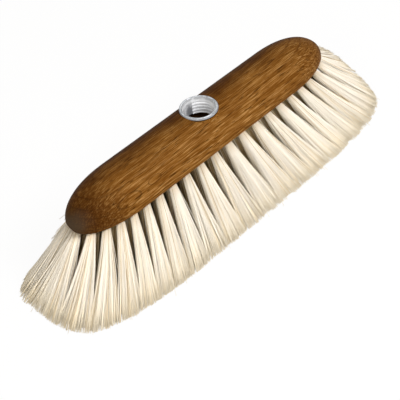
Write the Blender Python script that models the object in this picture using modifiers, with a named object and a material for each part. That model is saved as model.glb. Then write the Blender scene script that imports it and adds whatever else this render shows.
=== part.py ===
"""A soft-hair broom head: a domed hardwood stock, a sheet-metal pole socket and splayed tufts of hair.

Metres, +Z up. The origin is on the floor under the socket's axis, and the stock runs along X. The hair
tips are cut level on the floor plane, except that the outer tufts of the +X end have sprung out and off
it, so the head stands on its hair with the socket's mouth upwards.
"""

import math

import bmesh
import bpy
import numpy as np
from mathutils import Matrix, Vector

NAME = "broom_head"

# Stock: a plain side band at the bottom, then a dome that runs out at both rounded ends.
STOCK_LENGTH = 0.300
STOCK_WIDTH = 0.0538
STOCK_HEIGHT = 0.0304
SIDE_BAND_HEIGHT = 0.0047
UNDER_EDGE_INSET = 0.0016  # how far the underside is drawn in from the widest outline
PLAN_END_LENGTH = 0.0579  # length of each rounded end, seen from above
PLAN_END_POWER = 2.17  # superellipse power of that end: 2 is an ellipse, more is squarer
CREST_END_LENGTH = 0.0538  # length over which the crest falls to the band, seen from the side
DOME_POWER = 2.1

# Pole socket: a sleeve with a rolled flange at its mouth, let into the crest of the stock.
SOCKET_FLANGE_RADIUS = 0.0166
SOCKET_FLANGE_HEIGHT = 0.0018
SOCKET_BODY_RADIUS = 0.0151
SOCKET_MOUTH_RADIUS = 0.0143
SOCKET_BORE_RADIUS = 0.0137
SOCKET_COLLAR_DEPTH = 0.0030  # plain mouth above the threaded length
SOCKET_LENGTH = 0.0163
SOCKET_PROUD = 0.0005  # how far the flange stands above the crest
SOCKET_EDGE = 0.0005  # rounding of the flange
BORE_RELIEF = 0.0031  # how far the drilled bore runs on below the sleeve
SEAT_TOP_RADIUS = 0.0165  # the low conical seat that carries the dome up to the flange on all sides
SEAT_FOOT_RADIUS = 0.0189
SEAT_TOP_DROP = 0.0013  # from the crest down to the seat's top
SEAT_HEIGHT = 0.0060

# Tufts: each is a round bundle of hair in a drilled blind hole.
HAIR_DROP = 0.0559  # free height of the hair under the stock
TUFT_RADIUS = 0.0031
TUFT_INSET = 0.0060  # from the underside's edge to the outer row of holes
HOLE_DEPTH = 0.0068  # along the hole's own axis
ROOT_PROUD = 0.0030  # how far the tight bundle reaches below the underside
OUTER_SPLAY = math.radians(32)  # lean of the outer holes away from upright
INNER_SPLAY = math.radians(16)
OUTER_TUFTS = 42
INNER_TUFTS = 36
CENTRE_TUFTS = 13
END_CROWDING = 0.62  # how far the outer tufts are pushed towards the ends, in mean pitches
ROW_SPACING = 0.0096

# Inner hair: its tufts stand in one slice of the stock's underside.
SLICE_THICKNESS = 0.0025
SLICE_WALL = 0.0006  # wood left between the slice's recess and the outer holes

# Hair tips: the trimmed outline on the floor, a superellipse, and how far each row's tips lie inside it.
TIP_HALF_LENGTH = 0.1967
TIP_HALF_WIDTH = 0.0674
TIP_POWER = 4.0
OUTER_TIP_INSETS = (0.0012, 0.0125)
INNER_TIP_INSETS = (0.0250, 0.0370)
CENTRE_TIP_OFFSET = 0.0100
CORNER_TUCK = 0.11  # share by which the tips at the -X, +Y corner are combed in
TUCK_POWER = 10.0  # how sharply the tuck fades away from that corner

# End flare: the outer tufts of the +X end have sprung out flatter, and more so on the +Y side.
END_LIFT = 0.023  # height of those tufts' tips over the floor
END_FLARE = 0.40  # slope that their strands have on top of their holes' lean
FLARE_ACROSS = 0.47  # weight of the way across the head against the way along it
FLARE_FROM = 0.70  # where the flare starts, as a share of the way out to the +X end
FLARE_SPAN = 0.50  # share of the way over which it grows to its full size

# Strands: three-sided locks of hair, thin where they leave the tuft and fullest below it.
ROOT_COLUMN_STEP = 0.0018
ROOT_ROW_STEP = 0.0024
STRAND_SIDES = 3
STRAND_ROOT_RADIUS = 0.00075
STRAND_FULL_RADIUS = 0.0013
STRAND_TIP_RADIUS = 0.0011
STRAND_FULL_AT = 0.5  # share of the way down at which a strand is fullest
ROOT_OVERLAP = 0.0006  # how far a strand's end is sunk in what carries it

CLEARANCE = 0.0003  # between pieces that touch
END_STEPS = 10  # facets in a quarter of an outline
DOME_STEPS = 9
ROUND_STEPS = 32
TUFT_SIDES = 8
FINE_STEPS = 90  # samples in a quarter of an outline that is spaced out by length
CUT_MARGIN = 0.002  # how far a cutter passes the face that it opens


# --- Outlines -------------------------------------------------------------------------------------


def outline(half_length, half_width, end_length, power, steps=END_STEPS):
    """Closed plan outline: two straight sides and two superelliptic ends, anticlockwise seen from above."""
    turn = np.linspace(-math.pi / 2, math.pi / 2, 2 * steps + 1)
    along = np.abs(np.cos(turn)) ** (2 / power)
    across = np.sign(turn) * np.abs(np.sin(turn)) ** (2 / power)
    end = np.column_stack((half_length - end_length + end_length * along, half_width * across))
    return np.vstack((end, -end))


def underside(inset, steps=END_STEPS):
    """The underside's outline, drawn in by an inset."""
    inset += UNDER_EDGE_INSET
    return outline(
        STOCK_LENGTH / 2 - inset, STOCK_WIDTH / 2 - inset, PLAN_END_LENGTH - inset, PLAN_END_POWER, steps
    )


def spaced(ring, places):
    """Points at shares of a closed outline's length, counted from its +X end, and their outward normals."""
    ring = np.roll(ring, -(len(ring) // 4), axis=0)
    ring = np.vstack((ring, ring[:1]))
    length = np.concatenate(([0.0], np.cumsum(np.hypot(*np.diff(ring, axis=0).T))))
    length /= length[-1]

    def at(share):
        share = np.asarray(share) % 1.0
        return np.column_stack([np.interp(share, length, axis) for axis in ring.T])

    small = 0.5 / (len(ring) - 1)
    along = at(places + small) - at(places - small)
    along /= np.linalg.norm(along, axis=1, keepdims=True)
    return at(places), np.column_stack((along[:, 1], -along[:, 0]))


# --- Meshes ---------------------------------------------------------------------------------------


def loft(mesh, rings):
    """Skins a closed surface over rings of equal length, lowest first, with both ends closed."""
    rows = [[mesh.verts.new(point) for point in ring] for ring in rings]
    mesh.faces.new(rows[0][::-1])
    mesh.faces.new(rows[-1])
    for low, high in zip(rows, rows[1:]):
        for i in range(len(low)):
            j = (i + 1) % len(low)
            mesh.faces.new((low[i], low[j], high[j], high[i]))


def level(ring, z):
    """A plan outline lifted to a height."""
    return [(x, y, z) for x, y in ring]


def round_bar(mesh, radius, start, end, axis):
    """A round bar along an axis through the origin, from start to end, as a few flat sides."""
    turn = axis.to_track_quat("Z", "Y").to_matrix().to_4x4()
    place = turn @ Matrix.Translation((0, 0, (start + end) / 2))
    bmesh.ops.create_cone(
        mesh,
        cap_ends=True,
        segments=TUFT_SIDES,
        radius1=radius,
        radius2=radius,
        depth=end - start,
        matrix=place,
    )


def new_object(name, mesh, collection, material=None):
    """Turns a bmesh into a named object in a collection."""
    data = bpy.data.meshes.new(name)
    mesh.to_mesh(data)
    mesh.free()
    if material:
        data.materials.append(material)
    item = bpy.data.objects.new(name, data)
    collection.objects.link(item)
    return item


def combine(target, tool, operation):
    """Cuts a tool out of a target or joins it on, and puts the tool out of sight."""
    modifier = target.modifiers.new(f"{operation.lower()}_{tool.name}", "BOOLEAN")
    modifier.operation = operation
    modifier.solver = "EXACT"
    modifier.object = tool
    tool.hide_render = True
    tool.display_type = "WIRE"


def turned(name, profile, collection, material=None):
    """A turned piece: a closed profile of (radius, height) pairs, swept round Z by a Screw modifier."""
    mesh = bmesh.new()
    points = [mesh.verts.new((radius, 0, height)) for radius, height in profile]
    for i, point in enumerate(points):
        mesh.edges.new((point, points[(i + 1) % len(points)]))
    item = new_object(name, mesh, collection, material)
    screw = item.modifiers.new("turn", "SCREW")
    screw.steps = screw.render_steps = ROUND_STEPS
    screw.use_merge_vertices = True
    screw.merge_threshold = 0.00001
    return item


def smooth(item, angle=math.radians(35)):
    """Shades a rounded piece smooth, with its real edges kept sharp."""
    item.data.shade_smooth()
    item.data.set_sharp_from_angle(angle=angle)


# --- Stock ----------------------------------------------------------------------------------------


def stock_rings():
    """The stock's outlines from the underside to the crest, where the last one is a straight ridge."""
    rings = [level(underside(0), 0.0)]
    dome_height = STOCK_HEIGHT - SIDE_BAND_HEIGHT
    for turn in np.linspace(0, math.pi / 2, DOME_STEPS + 1):
        spread = abs(math.cos(turn)) ** (2 / DOME_POWER)
        rise = math.sin(turn) ** (2 / DOME_POWER)
        ring = outline(
            STOCK_LENGTH / 2 - CREST_END_LENGTH * (1 - spread),
            STOCK_WIDTH / 2 * spread,
            PLAN_END_LENGTH * spread,
            PLAN_END_POWER,
        )
        rings.append(level(ring, SIDE_BAND_HEIGHT + dome_height * rise))
    return rings


def crowded(number):
    """Places along the outer row, as shares of its length, for tuft numbers counted from the +X end.

    The tufts stand closer at both ends than along the straight sides.
    """
    share = number / OUTER_TUFTS
    return share - END_CROWDING / OUTER_TUFTS * np.sin(4 * math.pi * share)


def tuft_frames():
    """Mouth point and outward normal of each outer tuft's hole, in the underside's plane."""
    return spaced(underside(TUFT_INSET, FINE_STEPS), crowded(np.arange(OUTER_TUFTS)))


def hole_axis(normal):
    """Direction in which an outer tuft leaves its hole: down, and out by the splay."""
    out = math.sin(OUTER_SPLAY)
    return Vector((normal[0] * out, normal[1] * out, -math.cos(OUTER_SPLAY)))


def slice_inset():
    """How far the slice's recess lies inside the underside's edge, clear of the leaning outer holes."""
    lean = (SLICE_THICKNESS + CLEARANCE) * math.tan(OUTER_SPLAY)
    hole = (TUFT_RADIUS + CLEARANCE) / math.cos(OUTER_SPLAY)
    return TUFT_INSET + lean + hole + SLICE_WALL


def make_hole_cutter(collection):
    """All the outer tufts' blind holes as one cutter."""
    mesh = bmesh.new()
    for point, normal in zip(*tuft_frames()):
        hole = bmesh.new()
        round_bar(hole, TUFT_RADIUS + CLEARANCE, -HOLE_DEPTH - CLEARANCE, ROOT_PROUD, hole_axis(normal))
        bmesh.ops.translate(hole, verts=hole.verts, vec=(point[0], point[1], 0))
        part = bpy.data.meshes.new("hole")
        hole.to_mesh(part)
        hole.free()
        mesh.from_mesh(part)
        bpy.data.meshes.remove(part)
    return new_object("tuft_holes_cut", mesh, collection)


def make_slice_cutter(collection):
    """The recess that takes the slice with the inner tufts."""
    mesh = bmesh.new()
    ring = underside(slice_inset())
    loft(mesh, [level(ring, -CUT_MARGIN), level(ring, SLICE_THICKNESS + CLEARANCE)])
    return new_object("slice_recess_cut", mesh, collection)


def make_socket_cutter(collection):
    """The socket's bore, blind below the sleeve, with a spot face for its flange."""
    top = STOCK_HEIGHT + SOCKET_PROUD + CUT_MARGIN
    seat = STOCK_HEIGHT + SOCKET_PROUD - SOCKET_FLANGE_HEIGHT - CLEARANCE
    floor = STOCK_HEIGHT + SOCKET_PROUD - SOCKET_LENGTH - BORE_RELIEF
    profile = [
        (0, top),
        (SOCKET_FLANGE_RADIUS + CLEARANCE, top),
        (SOCKET_FLANGE_RADIUS + CLEARANCE, seat),
        (SOCKET_BODY_RADIUS + CLEARANCE, seat),
        (SOCKET_BODY_RADIUS + CLEARANCE, floor),
        (0, floor),
    ]
    return turned("socket_bore_cut", profile, collection)


def make_seat(collection):
    """The low round seat under the socket's flange, with a conical flank that runs out into the dome."""
    top = STOCK_HEIGHT - SEAT_TOP_DROP
    foot = top - SEAT_HEIGHT
    profile = [(0, top), (SEAT_TOP_RADIUS, top), (SEAT_FOOT_RADIUS, foot), (0, foot)]
    return turned("socket_seat", profile, collection)


def make_stock(parts, cutters, material):
    """The domed stock with its tuft holes, the slice's recess, the socket's seat and its bore."""
    mesh = bmesh.new()
    loft(mesh, stock_rings())
    bmesh.ops.remove_doubles(mesh, verts=mesh.verts, dist=0.000001)
    bmesh.ops.dissolve_degenerate(mesh, edges=mesh.edges, dist=0.000001)
    bmesh.ops.recalc_face_normals(mesh, faces=mesh.faces)
    stock = new_object("stock", mesh, parts, material)
    smooth(stock)
    shapes = {
        make_seat: "UNION",
        make_hole_cutter: "DIFFERENCE",
        make_slice_cutter: "DIFFERENCE",
        make_socket_cutter: "DIFFERENCE",
    }
    for make, operation in shapes.items():
        tool = make(cutters)
        tool.location.z = HAIR_DROP
        combine(stock, tool, operation)
    stock.location.z = HAIR_DROP
    return stock


# --- Pole socket ----------------------------------------------------------------------------------


def make_socket(parts, material):
    """The pole socket: a turned sleeve with a flange, a plain mouth and a bore at the thread's crests."""
    flange_foot = -SOCKET_FLANGE_HEIGHT
    thread_top = -SOCKET_COLLAR_DEPTH
    profile = [
        (SOCKET_MOUTH_RADIUS, 0),
        (SOCKET_FLANGE_RADIUS - SOCKET_EDGE, 0),
        (SOCKET_FLANGE_RADIUS, -SOCKET_EDGE),
        (SOCKET_FLANGE_RADIUS, flange_foot),
        (SOCKET_BODY_RADIUS, flange_foot),
        (SOCKET_BODY_RADIUS, -SOCKET_LENGTH),
        (SOCKET_BORE_RADIUS, -SOCKET_LENGTH),
        (SOCKET_BORE_RADIUS, thread_top),
        (SOCKET_MOUTH_RADIUS, thread_top + SOCKET_BORE_RADIUS - SOCKET_MOUTH_RADIUS),
    ]
    socket = turned("pole_socket", profile, parts, material)
    socket.location.z = HAIR_DROP + STOCK_HEIGHT + SOCKET_PROUD
    smooth(socket)
    return socket


# --- Hair -----------------------------------------------------------------------------------------


def strand(mesh, root, tip, lean, top, foot=0.0):
    """One strand: a tapered three-sided lock from a root point to a tip point, cut level at its foot.

    Seen in plan it leaves its root with the hole's lean and bends towards its tip, as a parabola does.
    """
    stations = (0.0, STRAND_FULL_AT, 1.0)
    radii = (STRAND_ROOT_RADIUS, STRAND_FULL_RADIUS, STRAND_TIP_RADIUS)
    corners = np.arange(STRAND_SIDES) * 2 * math.pi / STRAND_SIDES + math.atan2(*(tip - root)[::-1])
    rings = []
    for share, radius in zip(stations, radii):
        centre = root + lean * top * share * (1 - share) + (tip - root) * share**2
        corner = centre + radius * np.column_stack((np.cos(corners), np.sin(corners)))
        rings.append(level(corner, top - (top - foot) * share))
    loft(mesh, rings[::-1])


def tip_reach(places):
    """Directions of the trimmed outline's points for shares of the outer row's length.

    The outer row is stretched to the trimmed outline's length and width, then pushed out to the superellipse.
    A direction's X and Y are shares of the outline's half length and half width.
    """
    row = underside(TUFT_INSET, FINE_STEPS)
    reach = spaced(row, places)[0] / row.max(axis=0)
    return reach / np.sum(np.abs(reach) ** TIP_POWER, axis=1, keepdims=True) ** (1 / TIP_POWER)


def tip_points(inset, places):
    """Tips on the trimmed outline, drawn in by an inset and combed in at one corner."""
    reach = tip_reach(places)
    towards = np.clip(reach * (-1, 1), 0, 1).prod(axis=1, keepdims=True)
    tuck = CORNER_TUCK * (2 * towards / np.sum(reach**2, axis=1, keepdims=True)) ** TUCK_POWER
    return reach * (1 - tuck) * (TIP_HALF_LENGTH - inset, TIP_HALF_WIDTH - inset)


def end_flare(places):
    """Shares of the end's flare that strands have at places along the outer row."""
    out = tip_reach(places) @ (1, FLARE_ACROSS)
    share = np.clip((out - FLARE_FROM) / FLARE_SPAN, 0, 1)
    return share**2 * (3 - 2 * share)


def make_outer_tuft(index, point, normal, parts, cutters, material):
    """One outer tuft: the tight bundle in its hole, joined to its fan of strands."""
    bundle = bmesh.new()
    round_bar(bundle, TUFT_RADIUS, -HOLE_DEPTH, ROOT_PROUD, hole_axis(normal))
    name = f"tuft_{index + 1:02d}"
    tuft = new_object(name, bundle, parts, material)
    fan = bmesh.new()
    side = np.array((-normal[1], normal[0]))
    sunk = HAIR_DROP - ROOT_OVERLAP
    columns = np.array((-1, 0, 1))
    for row, inset in enumerate(OUTER_TIP_INSETS):
        places = crowded(index + columns / 3)
        tips = tip_points(inset, places) - point
        for column, tip, flare in zip(columns, tips, end_flare(places)):
            root = side * column * ROOT_COLUMN_STEP + normal * (0.5 - row) * ROOT_ROW_STEP
            lean = normal * (math.tan(OUTER_SPLAY) + END_FLARE * flare)
            strand(fan, root, tip, lean, sunk, END_LIFT * flare)
    bmesh.ops.translate(fan, verts=fan.verts, vec=(0, 0, -HAIR_DROP))
    strands = new_object(f"{name}_strands", fan, cutters)
    combine(tuft, strands, "UNION")
    tuft.location = strands.location = (point[0], point[1], HAIR_DROP)
    return tuft


def inner_strands(mesh):
    """The strands of the second row, staggered behind the outer one."""
    inset = TUFT_INSET + ROW_SPACING
    half_step = 0.5 / INNER_TUFTS
    places = np.arange(INNER_TUFTS) / INNER_TUFTS + half_step
    points, normals = spaced(underside(inset, FINE_STEPS), places)
    for row, tip_inset in enumerate(INNER_TIP_INSETS):
        for column in (-0.5, 0.5):
            tips = tip_points(tip_inset, places + column * half_step)
            for point, normal, tip in zip(points, normals, tips):
                side = np.array((-normal[1], normal[0]))
                root = point + side * column * ROOT_COLUMN_STEP + normal * (0.5 - row) * ROOT_ROW_STEP
                strand(mesh, root, tip, normal * math.tan(INNER_SPLAY), HAIR_DROP + ROOT_OVERLAP)


def centre_strands(mesh):
    """The strands of the middle row, in line with the long sides' outer tufts, leaning both ways."""
    row, _ = tuft_frames()
    pitch = row[OUTER_TUFTS // 4, 0] - row[OUTER_TUFTS // 4 + 1, 0]
    stretch = TIP_HALF_LENGTH / (STOCK_LENGTH / 2)
    for index in range(CENTRE_TUFTS):
        x = (index - (CENTRE_TUFTS - 1) / 2) * pitch
        for side in (-1, 1):
            root = np.array((x, side * ROOT_ROW_STEP / 2))
            tip = np.array((x * stretch, side * CENTRE_TIP_OFFSET))
            strand(mesh, root, tip, np.zeros(2), HAIR_DROP + ROOT_OVERLAP)


def make_inner_tufts(parts, cutters, material):
    """The inner tufts, joined to the slice of the underside that carries them."""
    mesh = bmesh.new()
    ring = underside(slice_inset() + CLEARANCE)
    loft(mesh, [level(ring, 0.0), level(ring, SLICE_THICKNESS)])
    tufts = new_object("inner_tufts", mesh, parts, material)
    hair = bmesh.new()
    inner_strands(hair)
    centre_strands(hair)
    bmesh.ops.translate(hair, verts=hair.verts, vec=(0, 0, -HAIR_DROP))
    strands = new_object("inner_tufts_strands", hair, cutters)
    combine(tufts, strands, "UNION")
    tufts.location.z = strands.location.z = HAIR_DROP
    return tufts


# --- Assembly -------------------------------------------------------------------------------------


def principled(name, colour, roughness, metallic=0.0):
    """A plain Principled material."""
    material = bpy.data.materials.new(name)
    material.use_nodes = True
    shader = material.node_tree.nodes["Principled BSDF"]
    shader.inputs["Base Color"].default_value = (*colour, 1.0)
    shader.inputs["Roughness"].default_value = roughness
    shader.inputs["Metallic"].default_value = metallic
    return material


def clear_scene():
    """Removes whatever objects the scene holds."""
    for item in list(bpy.data.objects):
        bpy.data.objects.remove(item, do_unlink=True)


def new_collection(name):
    """A collection in the scene."""
    collection = bpy.data.collections.new(name)
    bpy.context.scene.collection.children.link(collection)
    return collection


def main():
    clear_scene()
    parts = new_collection(NAME)
    cutters = new_collection(f"{NAME}_cutters")
    wood = principled("oiled_oak", (0.24, 0.115, 0.035), 0.5)
    zinc = principled("zinc_plated_steel", (0.62, 0.65, 0.69), 0.35, 1.0)
    hair = principled("pale_horsehair", (0.80, 0.72, 0.56), 0.6)
    pieces = [make_stock(parts, cutters, wood), make_socket(parts, zinc)]
    for index, (point, normal) in enumerate(zip(*tuft_frames())):
        pieces.append(make_outer_tuft(index, point, normal, parts, cutters, hair))
    pieces.append(make_inner_tufts(parts, cutters, hair))
    head = bpy.data.objects.new(f"{NAME}_root", None)
    parts.objects.link(head)
    for piece in pieces:
        piece.parent = head


main()
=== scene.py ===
"""Looks of a soft-hair broom head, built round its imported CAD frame.

The head has three sub-assemblies, each a class: the domed oak stock, the zinc-plated pole socket and the
rows of pale hair tufts. New surfaces are worked out with numpy as grids of points and put into meshes in
one go. All sizes are metres in the CAD frame: +X along the stock, +Z up, the floor at Z = 0.
"""

import logging
import math
from dataclasses import dataclass, field
from enum import Enum

import bmesh
import bpy
import numpy as np
from mathutils import Matrix, Vector


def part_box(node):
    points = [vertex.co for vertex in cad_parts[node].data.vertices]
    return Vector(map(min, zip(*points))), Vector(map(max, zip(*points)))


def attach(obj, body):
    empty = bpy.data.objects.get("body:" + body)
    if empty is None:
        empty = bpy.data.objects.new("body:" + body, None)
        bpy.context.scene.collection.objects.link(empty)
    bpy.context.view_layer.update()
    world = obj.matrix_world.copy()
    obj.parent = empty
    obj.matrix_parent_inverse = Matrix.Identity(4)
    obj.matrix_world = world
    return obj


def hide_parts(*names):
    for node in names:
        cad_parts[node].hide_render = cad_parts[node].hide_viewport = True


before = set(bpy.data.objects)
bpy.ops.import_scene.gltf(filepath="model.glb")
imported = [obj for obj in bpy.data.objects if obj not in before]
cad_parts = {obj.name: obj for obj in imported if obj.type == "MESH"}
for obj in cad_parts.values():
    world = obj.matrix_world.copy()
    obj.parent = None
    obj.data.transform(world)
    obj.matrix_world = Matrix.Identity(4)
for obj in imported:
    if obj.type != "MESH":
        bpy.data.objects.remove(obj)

LOG = logging.getLogger("broom_head")
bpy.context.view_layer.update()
BODY = "root"
STRAND_MAP = "OFBake"
WELD = 0.000002

Array = np.ndarray
Colour = tuple[float, float, float]
Point = tuple[float, float, float]
Span = tuple[float, float]
Socket = bpy.types.NodeSocket
NodeTree = bpy.types.ShaderNodeTree
Material = bpy.types.Material
Mesh = bpy.types.Mesh


# --- Meshes ---------------------------------------------------------------------------------------------


def mesh_from_arrays(name: str, points: Array, quads: Array, triangles: Array | None = None) -> Mesh:
    """Puts arrays of points and faces into a new smooth-shaded mesh.

    Args:
        name: Name of the mesh.
        points: Corner positions, one row each.
        quads: Four point indices a row.
        triangles: Three point indices a row, if there are any.

    Returns:
        The mesh.
    """
    triangles = np.zeros((0, 3), int) if triangles is None else triangles
    sizes = np.concatenate((np.full(len(quads), 4), np.full(len(triangles), 3)))
    corners = np.concatenate((quads.ravel(), triangles.ravel()))
    mesh = bpy.data.meshes.new(name)
    mesh.vertices.add(len(points))
    mesh.vertices.foreach_set("co", np.ascontiguousarray(points, np.float32).ravel())
    mesh.loops.add(len(corners))
    mesh.loops.foreach_set("vertex_index", corners.astype(np.int32))
    mesh.polygons.add(len(sizes))
    mesh.polygons.foreach_set("loop_start", np.concatenate(([0], np.cumsum(sizes)[:-1])).astype(np.int32))
    mesh.update(calc_edges=True)
    mesh.shade_smooth()
    return mesh


def band_quads(low: Array, high: Array) -> Array:
    """Faces of bands that close on themselves.

    Args:
        low: Point indices along the lower edges of the bands, which run along the last axis.
        high: Point indices along their upper edges.

    Returns:
        Four point indices a row, wound so that a band running anticlockwise under the next faces outwards.
    """
    faces = (low, np.roll(low, -1, axis=-1), np.roll(high, -1, axis=-1), high)
    return np.stack(faces, axis=-1).reshape(-1, 4)


def grid_quads(rows: int, columns: int, closed_rows: bool = False) -> Array:
    """Faces of a grid of points that closes on itself along its columns.

    Args:
        rows: Number of rows of points.
        columns: Number of points in a row; the last joins the first.
        closed_rows: Whether the last row joins the first one too.

    Returns:
        Four point indices a row.
    """
    index = np.arange(rows * columns).reshape(rows, columns)
    if closed_rows:
        return band_quads(index, np.roll(index, -1, axis=0))
    return band_quads(index[:-1], index[1:])


def turned_points(radius: Array, height: Array, steps: int) -> Array:
    """Rows of points turned round Z: (radius cos t, radius sin t, height) at even steps of t."""
    turn = np.arange(steps) * 2 * math.pi / steps
    return np.stack(np.broadcast_arrays(radius * np.cos(turn), radius * np.sin(turn), height), axis=-1)


def closed_mesh(name: str, points: Array) -> Mesh:
    """Skins rows of points into a closed mesh.

    Args:
        name: Name of the mesh.
        points: Array of (row, point, 3). The first and last rows shrink to a line or get a flat face.

    Returns:
        The mesh, with its doubled points welded and its faces turned outwards.
    """
    mesh = mesh_from_arrays(name, points.reshape(-1, 3), grid_quads(*points.shape[:2]))
    shell = bmesh.new()
    shell.from_mesh(mesh)
    bmesh.ops.remove_doubles(shell, verts=shell.verts, dist=WELD)
    bmesh.ops.dissolve_degenerate(shell, edges=shell.edges, dist=WELD)
    bmesh.ops.holes_fill(shell, edges=shell.edges)
    bmesh.ops.recalc_face_normals(shell, faces=shell.faces)
    shell.to_mesh(mesh)
    shell.free()
    return mesh


def add_object(name: str, data: bpy.types.ID) -> bpy.types.Object:
    """Puts a mesh, a lamp or a camera into the scene, at the origin."""
    item = bpy.data.objects.new(name, data)
    bpy.context.scene.collection.objects.link(item)
    return item


def add_piece(name: str, mesh: Mesh, slot: str, *nodes: str) -> bpy.types.Object:
    """Adds a finished piece to the scene: it rides on the body and stands for CAD nodes.

    Args:
        name: Name of the piece.
        mesh: Its mesh, in the CAD frame.
        slot: Name of a material slot; not used.
        nodes: CAD nodes that it replaces.

    Returns:
        The piece's object.
    """
    piece = add_object(name, mesh)
    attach(piece, BODY)
    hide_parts(*nodes)
    LOG.info("%s: %d faces, stands for %s", name, len(mesh.polygons), ", ".join(nodes))
    return piece


# --- Outlines -------------------------------------------------------------------------------------------


def outlines(
    half_length: Array, half_width: Array, end_length: Array, power: float, steps: int, straight: int = 0
) -> Array:
    """Closed plan outlines with straight sides and superelliptic ends.

    Each end runs through |u|^power + |v|^power = 1, where u is measured along the end and v across it.
    The straight sides' points draw together towards the middle, as 0.2 f + 0.8 f^3 of the half side.

    Args:
        half_length: Half lengths, one for each outline.
        half_width: Half widths.
        end_length: Lengths of the rounded ends.
        power: Power of the superellipse.
        steps: Facets in a quarter of an outline.
        straight: Points between the ends of each straight side.

    Returns:
        Array of (outline, point, 2), anticlockwise seen from above.
    """
    turn = np.linspace(-math.pi / 2, math.pi / 2, 2 * steps + 1)
    along = np.abs(np.cos(turn)) ** (2 / power)
    across = np.sign(turn) * np.abs(np.sin(turn)) ** (2 / power)
    sizes = (half_length, half_width, end_length)
    length, width, end = (np.asarray(size, float)[:, None] for size in sizes)
    share = np.linspace(1, -1, straight + 2)[1:-1]
    side = np.stack(((length - end) * (0.2 * share + 0.8 * share**3), width + 0 * share), axis=-1)
    tip = np.stack((length - end + end * along, width * across), axis=-1)
    right = np.concatenate((tip, side), axis=1)
    return np.concatenate((right, -right), axis=1)


def spaced(ring: Array, places: Array) -> tuple[Array, Array]:
    """Points at shares of a closed outline's length, counted from its +X end.

    Args:
        ring: The outline's points, anticlockwise, starting a quarter turn before its +X end.
        places: Shares of the length, of any shape.

    Returns:
        The points and the outward normals there, each of the places' shape with a last axis of 2.
    """
    ring = np.roll(ring, -(len(ring) // 4), axis=0)
    ring = np.vstack((ring, ring[:1]))
    length = np.concatenate(([0.0], np.cumsum(np.hypot(*np.diff(ring, axis=0).T))))
    length /= length[-1]

    def at(share: Array) -> Array:
        """Points at the shares."""
        return np.stack([np.interp(share % 1.0, length, axis) for axis in ring.T], axis=-1)

    small = 0.5 / len(ring)
    along = at(places + small) - at(places - small)
    along /= np.linalg.norm(along, axis=-1, keepdims=True)
    return at(places), np.stack((along[..., 1], -along[..., 0]), axis=-1)


# --- Shader trees ---------------------------------------------------------------------------------------

MIX_FACTOR, MIX_A, MIX_B, MIX_COLOUR = 0, 6, 7, 2
RISE: Span = (0.0, 1.0)
FALL: Span = (1.0, 0.0)


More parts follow.
